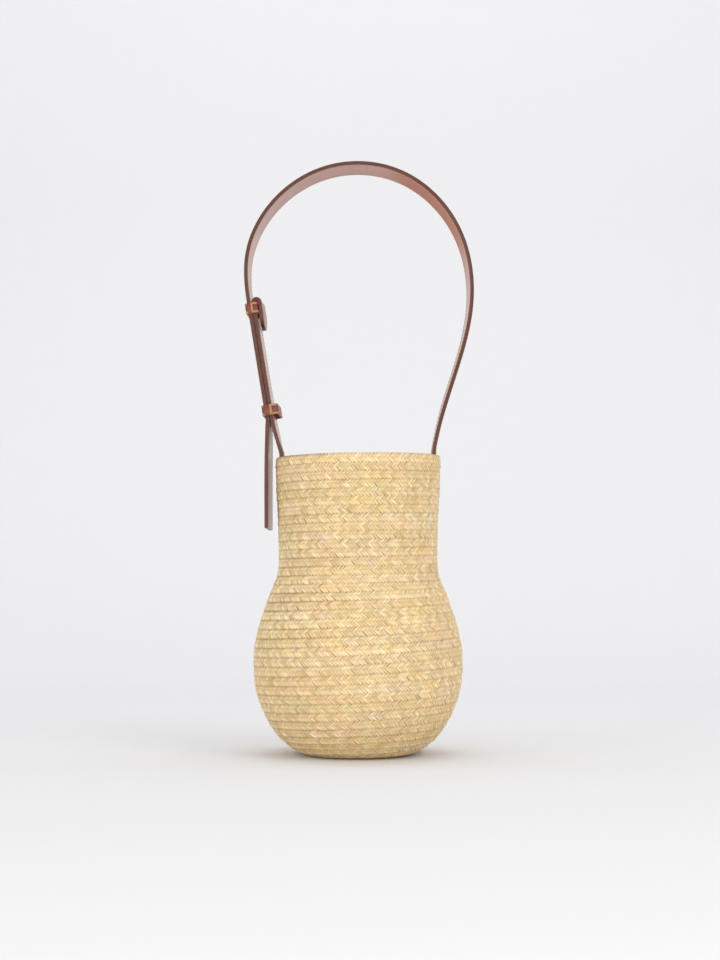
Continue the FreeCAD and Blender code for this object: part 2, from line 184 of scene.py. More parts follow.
def straw_material(name, gain=1.0, dark=(0.20, 0.115, 0.045)):
    m, nt, b = new_mat(name)
    L = nt.links.new
    tint = nt.nodes.new("ShaderNodeAttribute"); tint.attribute_name = "tint"
    cav = nt.nodes.new("ShaderNodeAttribute"); cav.attribute_name = "cav"
    uv = nt.nodes.new("ShaderNodeUVMap"); uv.uv_map = "lay"
    mp = nt.nodes.new("ShaderNodeMapping")
    mp.inputs["Scale"].default_value = (0.12, 3.2, 1)
    L(uv.outputs[0], mp.inputs[0])
    fib = nt.nodes.new("ShaderNodeTexNoise")
    fib.inputs["Scale"].default_value = 1.0
    fib.inputs["Detail"].default_value = 3.0
    L(mp.outputs[0], fib.inputs[0])
    # fibre streaks along each straw
    ramp = nt.nodes.new("ShaderNodeMapRange")
    ramp.inputs["From Min"].default_value = 0.3
    ramp.inputs["From Max"].default_value = 0.7
    ramp.inputs["To Min"].default_value = 0.86 * gain
    ramp.inputs["To Max"].default_value = 1.08 * gain
    L(fib.outputs[0], ramp.inputs[0])
    mul = nt.nodes.new("ShaderNodeVectorMath"); mul.operation = "SCALE"
    L(tint.outputs["Color"], mul.inputs[0]); L(ramp.outputs[0], mul.inputs["Scale"])
    # painted shade: the cav attribute mixes the straw colour toward dark brown at the straws' edges, ends and under the
    # row above
    mix = nt.nodes.new("ShaderNodeMix"); mix.data_type = "RGBA"
    mix.inputs[6].default_value = (*dark, 1)
    L(cav.outputs["Fac"], mix.inputs[0]); L(mul.outputs[0], mix.inputs[7])
    L(mix.outputs[2], b.inputs["Base Color"])
    rr = nt.nodes.new("ShaderNodeMapRange")
    rr.inputs["To Min"].default_value = 0.36
    rr.inputs["To Max"].default_value = 0.55
    L(fib.outputs[0], rr.inputs[0]); L(rr.outputs[0], b.inputs["Roughness"])
    b.inputs["Specular IOR Level"].default_value = 0.45
    bump = nt.nodes.new("ShaderNodeBump")
    bump.inputs["Strength"].default_value = 0.35
    bump.inputs["Distance"].default_value = 0.0002
    L(fib.outputs[0], bump.inputs["Height"]); L(bump.outputs[0], b.inputs["Normal"])
    return m


def leather_material(name, base, light, rough=0.36, coat=0.25, grain=0.25, painted_shade=True, matte=None):
    m, nt, b = new_mat(name)
    L = nt.links.new
    uv = nt.nodes.new("ShaderNodeUVMap"); uv.uv_map = "lay"
    n1 = nt.nodes.new("ShaderNodeTexNoise")
    n1.inputs["Scale"].default_value = 0.05
    n1.inputs["Detail"].default_value = 4
    L(uv.outputs[0], n1.inputs[0])
    mix = nt.nodes.new("ShaderNodeMix"); mix.data_type = "RGBA"
    mix.inputs[6].default_value = (*base, 1)
    mix.inputs[7].default_value = (*light, 1)
    mr = nt.nodes.new("ShaderNodeMapRange")
    mr.inputs["From Min"].default_value = 0.35; mr.inputs["From Max"].default_value = 0.7
    L(n1.outputs[0], mr.inputs[0]); L(mr.outputs[0], mix.inputs[0])
    col = mix.outputs[2]
    if painted_shade:
        # painted shade: slightly darker along the stitched borders and in the keepers' grooves
        cav = nt.nodes.new("ShaderNodeAttribute"); cav.attribute_name = "cav"
        mx = nt.nodes.new("ShaderNodeMix"); mx.data_type = "RGBA"
        mx.inputs[6].default_value = (base[0] * 0.45, base[1] * 0.4, base[2] * 0.4, 1)
        L(cav.outputs["Fac"], mx.inputs[0]); L(col, mx.inputs[7])
        col = mx.outputs[2]
    L(col, b.inputs["Base Color"])
    vor = nt.nodes.new("ShaderNodeTexVoronoi")
    vor.inputs["Scale"].default_value = 1.4
    L(uv.outputs[0], vor.inputs["Vector"])
    n2 = nt.nodes.new("ShaderNodeTexNoise")
    n2.inputs["Scale"].default_value = 0.7; n2.inputs["Detail"].default_value = 5
    L(uv.outputs[0], n2.inputs[0])
    add = nt.nodes.new("ShaderNodeMath"); add.operation = "ADD"
    L(vor.outputs["Distance"], add.inputs[0]); L(n2.outputs[0], add.inputs[1])
    bump = nt.nodes.new("ShaderNodeBump")
    bump.inputs["Strength"].default_value = grain
    bump.inputs["Distance"].default_value = 0.00015
    L(add.outputs[0], bump.inputs["Height"]); L(bump.outputs[0], b.inputs["Normal"])
    r2 = nt.nodes.new("ShaderNodeMapRange")
    r2.inputs["To Min"].default_value = rough - 0.06; r2.inputs["To Max"].default_value = rough + 0.1
    L(n2.outputs[0], r2.inputs[0]); L(r2.outputs[0], b.inputs["Roughness"])
    b.inputs["Coat Weight"].default_value = coat
    b.inputs["Coat Roughness"].default_value = 0.28
    if matte is not None:
        # painted reflection: on the shoulder of the strap the lining is darker and without the gloss, standing in for
        # the dimmer surroundings it reflects there
        wa = nt.nodes.new("ShaderNodeAttribute"); wa.attribute_name = "dim_reflection"
        mx = nt.nodes.new("ShaderNodeMix"); mx.data_type = "RGBA"
        L(wa.outputs["Fac"], mx.inputs[0]); L(col, mx.inputs[6])
        mx.inputs[7].default_value = (*matte, 1)
        L(mx.outputs[2], b.inputs["Base Color"])
        for socket, full in (("Coat Weight", coat), ("Specular IOR Level", 0.5)):
            k = nt.nodes.new("ShaderNodeMapRange")
            k.inputs["To Min"].default_value = full; k.inputs["To Max"].default_value = full * 0.12
            L(wa.outputs["Fac"], k.inputs[0]); L(k.outputs[0], b.inputs[socket])
    return m


def plain(name, col, rough, sheen=0.0):
    m, nt, b = new_mat(name)
    b.inputs["Base Color"].default_value = (*col, 1)
    b.inputs["Roughness"].default_value = rough
    if sheen:
        b.inputs["Sheen Weight"].default_value = sheen
    return m


M_STRAW = straw_material("straw")
# the inside copy of the straw is 8% darker: painted shade inside the bag
M_STRAW_IN = straw_material("straw_inside", 0.92)
# the core is a darker brown than the straw so the gaps between straws read as shade: painted shade
M_CORE = plain("straw_core", (0.33, 0.22, 0.10), 0.9)
M_FACE = leather_material("leather_face", srgb(146, 84, 58), srgb(160, 96, 68))
M_LINING = leather_material("leather_lining", srgb(160, 98, 76), srgb(176, 114, 92), rough=0.30, coat=0.75, grain=0.12, matte=srgb(176, 112, 84))
M_KEEPER = leather_material("leather_keeper", srgb(106, 52, 28), srgb(126, 64, 34), rough=0.38, coat=0.12)
M_EDGE = plain("leather_edge_paint", srgb(92, 50, 36), 0.30)
M_THREAD = plain("thread", srgb(205, 160, 120), 0.6, 0.3)
M_TAN = plain("leather_cut_edge", srgb(184, 124, 84), 0.50)

# ------------------------------------------------------------------ straw body
cur = cubic(PROFILE, 4000)
seg = np.concatenate([[0], np.cumsum(np.hypot(*np.diff(cur, axis=0).T))])
step = 0.25
ms = np.arange(0, seg[-1], step)
rs, zs = np.interp(ms, seg, cur[:, 0]), np.interp(ms, seg, cur[:, 1])
disc = np.arange(0.05, 45.0, step)
ext = np.arange(step, 6.0, step)
R_ = np.concatenate([disc, rs, rs[-1] + ext * 0.02])
Z_ = np.concatenate([np.zeros_like(disc), zs, zs[-1] + ext])
M_ = np.concatenate([[0], np.cumsum(np.hypot(np.diff(R_), np.diff(Z_)))])
ang = np.unwrap(np.arctan2(np.gradient(Z_), np.gradient(R_)))
pad = 14
ker = np.ones(2 * pad + 1) / (2 * pad + 1)
ang = np.convolve(np.pad(ang, pad, mode="edge"), ker, "valid")


def meridian(m):
    return np.interp(m, M_, R_), np.interp(m, M_, Z_), np.interp(m, M_, ang)


M_RIM = np.interp(273.7, Z_[len(disc):], M_[len(disc):])


def pitch_at(z):
    return 8.5 - 0.9 * np.clip((z - 90) / 120, 0, 1)


N_ = np.concatenate([[0], np.cumsum(np.diff(M_) / pitch_at(Z_[:-1]))])


def rim_drop(phi):
    return -1.0 + np.cos(phi)


def tilt(m):
    """the rows lie a little askew on the bulb, level on the neck"""
    z = np.interp(m, M_, Z_)
    return 0.034 * smooth(m, 0, 40) * (1 - smooth(z, 105, 185))


HALF = pitch_at(270) / 2 + OVERLAP / 2
m_left = M_RIM + rim_drop(math.pi) - HALF
n_end = np.interp(m_left, M_, N_)
NU_END = 60.5
nu_lo = NU_END - n_end + 0.45
nu = np.arange(nu_lo, NU_END, 1 / 720)
m_c = np.interp(n_end - (NU_END - nu), N_, M_)
r_c = np.interp(m_c, M_, R_)
m_c = m_c + tilt(m_c) * r_c * np.cos(2 * math.pi * nu)
r_c = np.interp(m_c, M_, R_)
len_c = np.concatenate([[0], np.cumsum(2 * math.pi * np.diff(nu) * r_c[:-1])])

count = int(len_c[-1] / ARM)
arm_len = (np.arange(count) + 0.5) * ARM
arm_nu = np.interp(arm_len, len_c, nu)

# one colour for each straw of the plait, changing where a straw is spliced
WAYS = 7
palette = np.array([srgb(234, 207, 155), srgb(243, 222, 176), srgb(231, 200, 146), srgb(235, 217, 158),
                    srgb(240, 211, 169), srgb(224, 192, 136), srgb(247, 229, 188), srgb(233, 206, 147)])
palette = (palette * 0.66 + palette.mean(0) * 0.34) * np.array([1.035, 1.0, 0.985])


def straw_colours(index, side, salt):
    way = (index + 3 * side) % WAYS
    piece = (index + way * 17) // 24
    key = (way * 7919 + piece * 104729 + salt * 31 + side * 13) % 9973
    local = np.random.default_rng(salt)
    table = local.integers(0, len(palette), 9973)
    shade = local.normal(1.0, 0.035, 9973)
    c = palette[table[key]] * shade[key][..., None]
    # short lengths of a row share a faint pink, green or cream cast
    cast = local.normal([1.0, 1.0, 1.0], [0.015, 0.014, 0.046], (9973, 3))
    at = index / 7.0 + 3.0 * local.random()
    i0 = np.floor(at).astype(int)
    f = (at - i0)[..., None]
    c = c * (cast[i0 % 9973] * (1 - f) + cast[(i0 + 1) % 9973] * f)
    return c * np.clip(local.normal(1.0, 0.068, index.shape), 0.78, 1.18)[..., None]


def plait(nu_k, centre_fn, radius_k, index, inside, salt, fine, tuck=None):
    """straws of the plait as small pillows: (verts, uv, colours, cav painted shade, z of each straw)"""
    if fine:
        aa = np.array([-0.16, 0.06, 0.30, 0.58, 0.84, 1.0])
        bb = np.array([-1, -0.62, 0, 0.62, 1.0])
    else:
        aa = np.array([-0.14, 0.18, 0.6, 0.92, 1.0])
        bb = np.array([-1, 0, 1.0])
    k = len(nu_k)
    jit = np.random.default_rng(salt + 5)
    side = np.array([-1, 1])
    A = aa[None, None, :, None]
    B = bb[None, None, None, :]
    S = side[None, :, None, None]
    shape = (k, 2, len(aa), len(bb))
    m_mid = centre_fn(nu_k)
    z_mid = np.interp(m_mid, M_, Z_)
    half = (pitch_at(z_mid) / 2 + OVERLAP / 2)[:, None, None, None]
    v = S * A * half + np.zeros(shape)
    jt = jit.normal(0, 0.17, (k, 2, 1, 1))
    jw = jit.normal(1.0, 0.08, (k, 2, 1, 1))
    jh = jit.normal(0, 0.08, (k, 2, 1, 1))
    js = jit.normal(1.0, 0.05, (k, 2, 1, 1))
    taper = 1 - 0.42 * smooth(A, 0.72, 1.02) - 0.25 * smooth(-A, 0.0, 0.16)
    t = (S > 0) * (ARM / 2) + 0.98 * js * np.abs(v) * np.sign(A + 1e-9) + B * (ARM / 2) * 1.08 * jw * taper + jt
    rad = np.maximum(radius_k, 7.0)[:, None, None, None]
    nn = nu_k[:, None, None, None] + t / (2 * math.pi * rad)
    m = centre_fn(nn) + v
    m = np.maximum(m, 0.4)
    r, z, a = meridian(m)
    phi = 2 * math.pi * nn
    u = S * A
    # rows lie closer in some places than in others: open at the left and near the base; the same factor deepens the
    # painted shade there
    left = smooth(-np.cos(phi), 0.05, 0.85)
    low = 1 - smooth(z, 25, 60)
    gape_and_shade = np.clip(0.40 + 0.5 * left + 0.35 * low + 0.22 * np.sin(5.3 * nn * 2.1 + 1.7 * np.sin(nn * 3.1)), 0.3, 1.15)
    pillow = 0.42 * (1 - B * B) + jh
    ends = -0.45 * np.exp(-((A + 0.02) / 0.11) ** 2) - (0.25 + 0.5 * gape_and_shade) * smooth(A, 0.78, 1.0)
    if not inside:
        h = -0.62 - (0.16 + 0.28 * gape_and_shade) * u + pillow + ends
        if tuck is not None:
            h = h - tuck[:, None, None, None]
    else:
        h = -WALL + 0.75 - 0.32 * u - pillow - ends
    nr, nz = np.sin(a), -np.cos(a)
    rr_ = r + nr * h
    zz_ = z + nz * h
    if not inside:
        zz_ = np.maximum(zz_, 0.05)
    P = np.stack([rr_ * np.cos(phi), rr_ * np.sin(phi), zz_], -1)
    # painted shade: straws darker at their side edges, their folded ends and the middle crease, and in the half tucked
    # under the row above
    cav = (1 - 0.40 * np.abs(B) ** 3) * (1 - (0.12 + 0.38 * gape_and_shade) * smooth(A, 0.84, 1.0)) * (1 - 0.36 * np.exp(-((A + 0.05) / 0.14) ** 2))
    shade = 1 - (0.08 + 0.46 * gape_and_shade) * ((S > 0) if not inside else (S < 0)) * smooth(A, 0.44, 0.70)
    cav = cav * shade + np.zeros(shape)
    along = A * half * 1.4 + index[:, None, None, None] * 3.7
    across = B * (ARM / 2) + index[:, None, None, None] * 1.9 + S * 11.0
    uv = np.stack([along + np.zeros(shape), across + np.zeros(shape)], -1)
    col = np.stack([straw_colours(index, 0, salt), straw_colours(index, 1, salt)], 1)
    col = np.repeat(np.repeat(col[:, :, None, None, :], len(aa), 2), len(bb), 3)
    return P, uv, col, cav, z_mid


def centre_spiral(n):
    return np.interp(n, nu, m_c)


def centre_rim(n):
    return M_RIM + rim_drop(2 * math.pi * n) - HALF + 0.55


rad_k = np.interp(arm_nu, nu, r_c)
# the last turn slides in under the level rim row
gap = centre_rim(arm_nu) - centre_spiral(arm_nu)
tuck = 0.9 * (1 - smooth(gap, 3.0, 7.4)) * (gap < 9)
keep = gap > 0.4
arm_nu, rad_k, tuck = arm_nu[keep], rad_k[keep], tuck[keep]
idx = np.arange(len(arm_nu))
rim_count = int(round(2 * math.pi * 76.5 / ARM))
rim_nu = np.arange(rim_count) / rim_count
rim_rad = np.full(rim_count, 76.5)
rim_idx = np.arange(rim_count) + 9001

rings = sorted((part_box(n)[0][2] * 1000, n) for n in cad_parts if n.startswith("straw_"))
# the rings touch where the rows meet: each one starts at its outer edge's height
starts = [z if abs(z) > 1 else -1 for z, _ in rings]
CUTS = {"straw_bulb_foot": 24.17, "straw_bulb_lower": 54.65, "straw_bulb_upper": 96.52, "straw_shoulder": 128.77,
        "straw_neck": 166.9, "straw_collar": 213.66}
lows = [CUTS.get(n, z) for z, n in rings]
PARTS = [(n, -1 if i == 0 else lows[i], lows[i + 1] if i + 1 < len(rings) else 400) for i, (z, n) in enumerate(rings)]


def arms_to_mesh(name, sets, sel_lo, sel_hi, mat):
    V_, UV_, C_, K_, F_ = [], [], [], [], []
    base = 0
    for P, uv, col, cav, z in sets:
        pick = (z > sel_lo) & (z <= sel_hi)
        if not pick.any():
            continue
        P, uv, col, cav = P[pick], uv[pick], col[pick], cav[pick]
        k, two, na, nb = P.shape[:4]
        g = grid_faces(na, nb)
        # the two halves are mirror images, so one is wound the other way
        f0 = g[None] + (np.arange(k) * 2 * na * nb)[:, None, None]
        f1 = g[:, ::-1][None] + (np.arange(k) * 2 * na * nb + na * nb)[:, None, None]
        F_.append(np.concatenate([f0.reshape(-1, 4), f1.reshape(-1, 4)]) + base)
        V_.append(P.reshape(-1, 3)); UV_.append(uv.reshape(-1, 2)); C_.append(col.reshape(-1, 3)); K_.append(cav.reshape(-1))
        base += k * 2 * na * nb
    return make(name, np.concatenate(V_), np.concatenate(F_), np.concatenate(UV_), np.concatenate(C_), np.concatenate(K_), True, [mat])


outer_sets = [plait(arm_nu, centre_spiral, rad_k, idx, False, 11, True, tuck),
              plait(rim_nu, centre_rim, rim_rad, rim_idx, False, 23, True)]
inner_sets = [plait(arm_nu, centre_spiral, rad_k, idx, True, 41, False),
              plait(rim_nu, centre_rim, rim_rad, rim_idx, True, 53, False)]
for node, a, b in PARTS:
    o = arms_to_mesh(node + "_plait", outer_sets, a, b, M_STRAW)
    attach(o, "bag"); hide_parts(node)
    o = arms_to_mesh(node + "_plait_inside", inner_sets, a, b, M_STRAW_IN)
    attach(o, "bag"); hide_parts(node)
    # the plait's own thickness behind the visible straws, coloured darker than the straw: painted shade in the gaps
    # between straws
    m0 = 0.3 if a < 0 else np.interp(a, Z_[len(disc):], M_[len(disc):])
    m1 = M_RIM - 1.6 if b > 300 else np.interp(b, Z_[len(disc):], M_[len(disc):])
    mm = np.linspace(m0, m1, max(6, int((m1 - m0) / 3.5)))
    ph = np.linspace(0, 2 * math.pi, 181)[:-1]
    sheets = []
    for depth in (-1.25, -1.9):
        r, z, an = meridian(mm)
        rr_, zz_ = r + np.sin(an) * depth, z - np.cos(an) * depth
        sheets.append(np.stack([rr_[:, None] * np.cos(ph), rr_[:, None] * np.sin(ph), zz_[:, None] + 0 * ph], -1))
    verts = np.concatenate([s.reshape(-1, 3) for s in sheets])
    f = grid_faces(len(mm), len(ph), close_cols=True)
    f = np.concatenate([f, f[:, ::-1] + len(mm) * len(ph)])
    o = make(node + "_core", verts, f, mats=[M_CORE])
    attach(o, "bag"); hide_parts(node)


# ------------------------------------------------------------------ leather
class Line:
    """a path in the XZ plane by arc length"""

    def __init__(self, pts, count=2400, straight=False):
        if straight:
            p = np.asarray(pts, float)
            d = np.concatenate([[0], np.cumsum(np.hypot(*np.diff(p, axis=0).T))])
            u = np.linspace(0, d[-1], count)
            p = np.stack([np.interp(u, d, p[:, 0]), np.interp(u, d, p[:, 1])], -1)
        else:
            p = cubic(pts, count)
        self.p = p
        self.s = np.concatenate([[0], np.cumsum(np.hypot(*np.diff(p, axis=0).T))])
        g = np.gradient(p, axis=0)
        self.a = np.unwrap(np.arctan2(g[:, 1], g[:, 0]))
        self.length = self.s[-1]

    def at(self, s):
        x, z = np.interp(s, self.s, self.p[:, 0]), np.interp(s, self.s, self.p[:, 1])
        a = np.interp(s, self.s, self.a)
        return x, z, -np.sin(a), np.cos(a)


wall_r = lambda z: np.interp(z, Z_[len(disc):], R_[len(disc):]) - WALL - 0.05 - LAYER
tab_z = np.array([270.0, 264, 256, 248, 240, 232, 224, 219, 214.0])
straight = [tuple((A_LOW + U * d)[[0, 2]]) for d in range(0, 107, 8)]
straight = [tuple((A_LOW + U * d)[[0, 2]]) for d in (0, 12, 24, 36, 48, 60, 72, 84, 96, 106)]
long_line = Line(straight + LONG_ARC + [(70.85, 275.0)] + [(float(wall_r(z)), z) for z in tab_z])

b0 = A_LOW + N * PAIR
b_line = lambda z: (b0 + U * ((z - b0[2]) / U[2]))[[0, 2]]
fold_u = (UP_KEEPER_Z - b0[2]) / U[2] + KEEPER_H / 2 + 1.0
fold_pts = [(PAIR + FOLD_R - FOLD_R * math.cos(math.pi * i / 24), fold_u + FOLD_R * math.sin(math.pi * i / 24)) for i in range(25)]
back_v = PAIR + 2 * FOLD_R
tip_v, tip_u = PAIR + 4.9, (TIP_Z - b0[2]) / U[2]
knee_u = fold_u - KEEPER_H - 2.6
local_pts = [(PAIR, u) for u in np.arange(8, fold_u - 2, 6)] + [(PAIR, fold_u - 1)] + fold_pts
local_pts += [(back_v, fold_u - 3), (back_v, fold_u - 6), (back_v, knee_u + 1.5), (back_v - 0.1, knee_u), (back_v - 0.45, knee_u - 3.5), (tip_v + 0.1, tip_u + 2.5), (tip_v, tip_u)]
world = [tuple((A_LOW + N * v + U * u)[[0, 2]]) for v, u in local_pts]
low = [(-float(wall_r(z)), z) for z in tab_z[::-1]] + [(-71.2, 275.0), (-72.5, 281.5), (-74.15, 289.0), (-75.9, 297.0), tuple(b_line(306.0)), tuple(b_line(312.0))]
short_line = Line(low + world, 4000)

hinge = A_LOW - U * (0.3 + LAYER)
tail_line = Line([tuple((A_LOW)[[0, 2]]), tuple((A_LOW - U * 1.0)[[0, 2]]), (hinge[0] + 0.05, hinge[2] - 1.2)] +
                 [(hinge[0] - 0.35 * math.sin((hinge[2] - z) / 103 * math.pi), z) for z in np.linspace(hinge[2] - 6, TAIL_END, 12)])


def on_strap(line, kind):
    """returns f(s, w, off) -> points in mm"""
    sgn = -1.0 if kind == "short" else 1.0

    def f(s, w, off):
        s, w, off = np.broadcast_arrays(np.asarray(s, float), w, off)
        x, z, sx, sz = line.at(s)
        if kind == "tail":
            sx, sz = -sx, -sz
            drop = np.clip(hinge[2] - z, 0, 200)
            sp = SPLAY + 0.9 * smooth(drop, 0, 40)
            p = np.stack([x - off + w * sp / STRAP_W, w + 0.0, z + off * sz * 0], -1)
            p[..., 0] = x + sx * off * 1.0 + w * sp / STRAP_W
            p[..., 2] = z + sz * off
            return lean(p)
        up = smooth(z, 277, 305)
        if kind == "long":
            end = (x > 0)
            k = np.where(end, smooth(z, 278, 330), 1.0)
            sh = -SPLAY * k * w / STRAP_W
            px, pz = x + sx * (off + sh), z + sz * (off + sh)
            tab = np.where(end, 1 - smooth(z, 268, 296), 0.0)
            rad = 71.6 + off
        else:
            k = smooth(z, 277, 300)
            px = x + sx * off + N[0] * k * w * SPLAY / STRAP_W
            pz = z + sz * off + N[2] * k * w * SPLAY / STRAP_W
            tab = 1 - smooth(z, 268, 296)
            rad = 71.6 + off
        bow = rad - np.sqrt(rad * rad - w * w)
        px = px - np.sign(x) * bow * tab
        p = np.stack([px, w + 0.0 * px, pz], -1)
        return lean(p, up)
    return f


def layer_mesh(name, f, s, lo, hi, mats, end_shape=None, round_hi=True):
    """one leather layer with rounded, painted edges. end_shape(s) gives the half width"""
    hw = np.full(len(s), STRAP_W / 2) if end_shape is None else end_shape(s)
    t = hi - lo
    rr = 0.55
    ins = [(-1, 0.0, 1)]
    # cross section: (w fraction shift, offset, material)
    sect = []
    across = np.linspace(-1, 1, 13)
    top, bot = (hi, lo) if round_hi else (lo, hi)
    sg = 1 if round_hi else -1
    for q in across:
        sect.append((q, top, -0.55 * (abs(q) == 1)))
    arc = [(0.30, 0.06), (0.10, 0.22), (0.0, 0.55), (0.0, t - 0.12), (0.12, t - 0.02)]
    pts = []
    face_cols = []
    # top face, edge, bottom face, edge
    loop = [("f", q, 0.0) for q in across]
    loop[0] = ("f", -1.0, 0.55); loop[-1] = ("f", 1.0, 0.55)
    W, O, C, MATI = [], [], [], []
    # cav values are painted shade: darker toward the rounded edges and on the face that lies against the other layer
    for _, q, inset in loop:
        W.append((q, inset)); O.append(top - sg * 0.0); C.append(0.55 if abs(q) > 0.93 else 1.0)
    for inset, down in arc:
        W.append((1.0, inset)); O.append(top - sg * down); C.append(0.35)
    for q in across[::-1]:
        W.append((q, 0.25 if abs(q) == 1 else 0.0)); O.append(bot); C.append(0.6)
    for inset, down in arc[::-1]:
        W.append((-1.0, inset)); O.append(top - sg * down); C.append(0.35)
    n = len(W)
    wfrac = np.array([w[0] for w in W]); winset = np.array([w[1] for w in W]); off = np.array(O)
    w = wfrac[None] * hw[:, None]
    w = np.sign(wfrac)[None] * np.maximum(np.abs(w) - winset[None], 0.0)
    P = f(s[:, None], w, off[None])
    uv = np.stack([np.repeat(s[:, None], n, 1), w + off[None] * 0.7], -1)
    cav = np.repeat(np.array(C)[None], len(s), 0)
    faces = grid_faces(len(s), n, close_cols=True)
    if not round_hi:
        faces = faces[:, ::-1]
    col_index = np.tile(np.arange(n), len(s) - 1)
    is_edge = ((col_index >= 13) & (col_index < 12 + 6)) | ((col_index >= 12 + 6 + 13 - 1) & (col_index < n - 1))
    V_ = P.reshape(-1, 3)
    # painted reflection: marks the strap's upper right, where the lining shows a dimmer reflection
    dim_reflection = smooth(V_[:, 0], 12, 52) * smooth(V_[:, 2], 425, 485)
    F_ = [faces]
    FM = [is_edge.astype(int)]
    # closed ends
    for row, rev in ((0, False), (len(s) - 1, True)):
        ring = row * n + np.arange(n)
        a = ring[0:13]; b = ring[18:31][::-1]
        q = np.stack([a[:-1], a[1:], b[1:], b[:-1]], -1)
        right = ring[12:19]; left = np.concatenate([ring[30:], ring[:1]])
        q2 = np.array([[right[0], right[1], right[2], right[3]], [right[0], right[3], right[4], right[5]], [right[0], right[5], right[6], right[6]]])
        q2 = q2[:2]
        q3 = np.array([[left[-1], left[-2], left[-3], left[-4]], [left[-1], left[-4], left[-5], left[-6]]])
        q = np.concatenate([q, q2, q3])
        if rev:
            q = q[:, ::-1]
        F_.append(q); FM.append(np.ones(len(q), int))
    ob = make(name, V_, np.concatenate(F_), uv.reshape(-1, 2), None, cav.reshape(-1), True, mats, np.concatenate(FM))
    at = ob.data.attributes.new("dim_reflection", "FLOAT", "POINT")
    at.data.foreach_set("value", dim_reflection.astype(np.float32))
    return ob


def stitches(name, f, s_list, faces, pitch=3.9, length=2.7, rise=0.16, wide=0.62):
    """rows of single stitches; faces is a list of (w, offset, outward sign)"""
    V_, F_ = [], []
    base = 0
    nu_, nv_ = 7, 6
    th = np.linspace(0, math.pi, nu_)
    ps = np.linspace(0, 2 * math.pi, nv_ + 1)[:-1]
    ex = -np.cos(th)[:, None] * np.ones(nv_)
    ey = np.sin(th)[:, None] ** 0.7 * np.cos(ps)
    ez = np.sin(th)[:, None] ** 0.7 * np.sin(ps)
    g = grid_faces(nu_, nv_, close_cols=True)
    for w, off, sg in faces:
        for s0, s1 in s_list:
            mid = np.arange(s0, s1, pitch)
            sl = mid[:, None, None] + ex[None] * length / 2
            ww = w + ey[None] * wide / 2 + ex[None] * 0.22 * np.sign(w)
            oo = off + sg * (ez[None] * 0.30 + rise - 0.10)
            P = f(sl, ww, oo)
            V_.append(P.reshape(-1, 3))
            k = len(mid)
            ff = g[None] + (np.arange(k) * nu_ * nv_)[:, None, None] + base
            if sg < 0:
                ff = ff[..., ::-1]
            F_.append(ff.reshape(-1, 4))
            base += k * nu_ * nv_
    return make(name, np.concatenate(V_), np.concatenate(F_), mats=[M_THREAD])


f_long, f_short, f_tail = on_strap(long_line, "long"), on_strap(short_line, "short"), on_strap(tail_line, "tail")
LONG_END = long_line.length
ss = np.concatenate([np.arange(0, LONG_END - 110, 3.0), np.arange(LONG_END - 110, LONG_END, 2.0), [LONG_END]])
o = layer_mesh("long_strap_outer_skin", f_long, ss, 0.03, LAYER, [M_FACE, M_EDGE])
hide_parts("long_strap_outer", "right_tab_outer"); long_a = o
o = layer_mesh("long_strap_lining_skin", f_long, ss, -LAYER, -0.03, [M_LINING, M_EDGE], round_hi=False)
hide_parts("long_strap_lining", "right_tab_lining"); long_b = o
tab_end = LONG_END - 6
wy = STRAP_W / 2 - 2.6
o = stitches("long_strap_stitches", f_long, [(3, tab_end)], [(-wy, LAYER, 1), (wy, LAYER, 1), (-wy, -LAYER, -1), (wy, -LAYER, -1)])
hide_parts("long_strap_thread"); long_c = o

SL = short_line.length
fine_s = np.concatenate([np.arange(0, SL - 45, 2.5), np.arange(SL - 45, SL, 0.8), [SL]])


def tip_shape(s):
    d = np.clip(SL - s, 0, 17.0)
    return np.minimum(STRAP_W / 2, np.sqrt(np.maximum(17.0 ** 2 - (17.0 - d) ** 2, 4.0)))


o = layer_mesh("short_strap_outer_skin", f_short, fine_s, 0.03, LAYER, [M_FACE, M_EDGE], tip_shape)
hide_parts("short_strap_outer", "left_tab_outer"); short_a = o
o = layer_mesh("short_strap_lining_skin", f_short, fine_s, -LAYER, -0.03, [M_LINING, M_EDGE], tip_shape, round_hi=False)
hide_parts("short_strap_lining", "left_tab_lining"); short_b = o
o = stitches("short_strap_stitches", f_short, [(6, SL - 9)], [(-wy, LAYER, 1), (wy, LAYER, 1), (-wy, -LAYER, -1), (wy, -LAYER, -1)])
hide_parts("short_strap_thread"); short_c = o

TL = tail_line.length
ts = np.concatenate([np.arange(0, 12, 0.8), np.arange(12, TL, 3.0), [TL]])
o = layer_mesh("tail_outer_skin", f_tail, ts, 0.03, LAYER, [M_FACE, M_EDGE])
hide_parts("tail_outer"); tail_a = o
o = layer_mesh("tail_lining_skin", f_tail, ts, -LAYER, -0.03, [M_LINING, M_EDGE], round_hi=False)
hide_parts("tail_lining"); tail_b = o
o = stitches("tail_stitches", f_tail, [(3, TL - 4)], [(-wy, LAYER, 1), (wy, LAYER, 1), (-wy, -LAYER, -1), (wy, -LAYER, -1)])
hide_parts("tail_thread"); tail_c = o


# ------------------------------------------------------------------ keeper loops
def to_world(p, z):
    """points in the straps' own frame (x across, y width, z along), loop centred at height z"""
    c, s = math.cos(-TWIST), math.sin(-TWIST)
    x, y, w = p[..., 0] * c - p[..., 1] * s, p[..., 0] * s + p[..., 1] * c, p[..., 2]
    origin = A_LOW + U * ((z - A_LOW[2]) / U[2])
    q = origin + x[..., None] * N + w[..., None] * U
    q[..., 1] += y
    return lean(q)


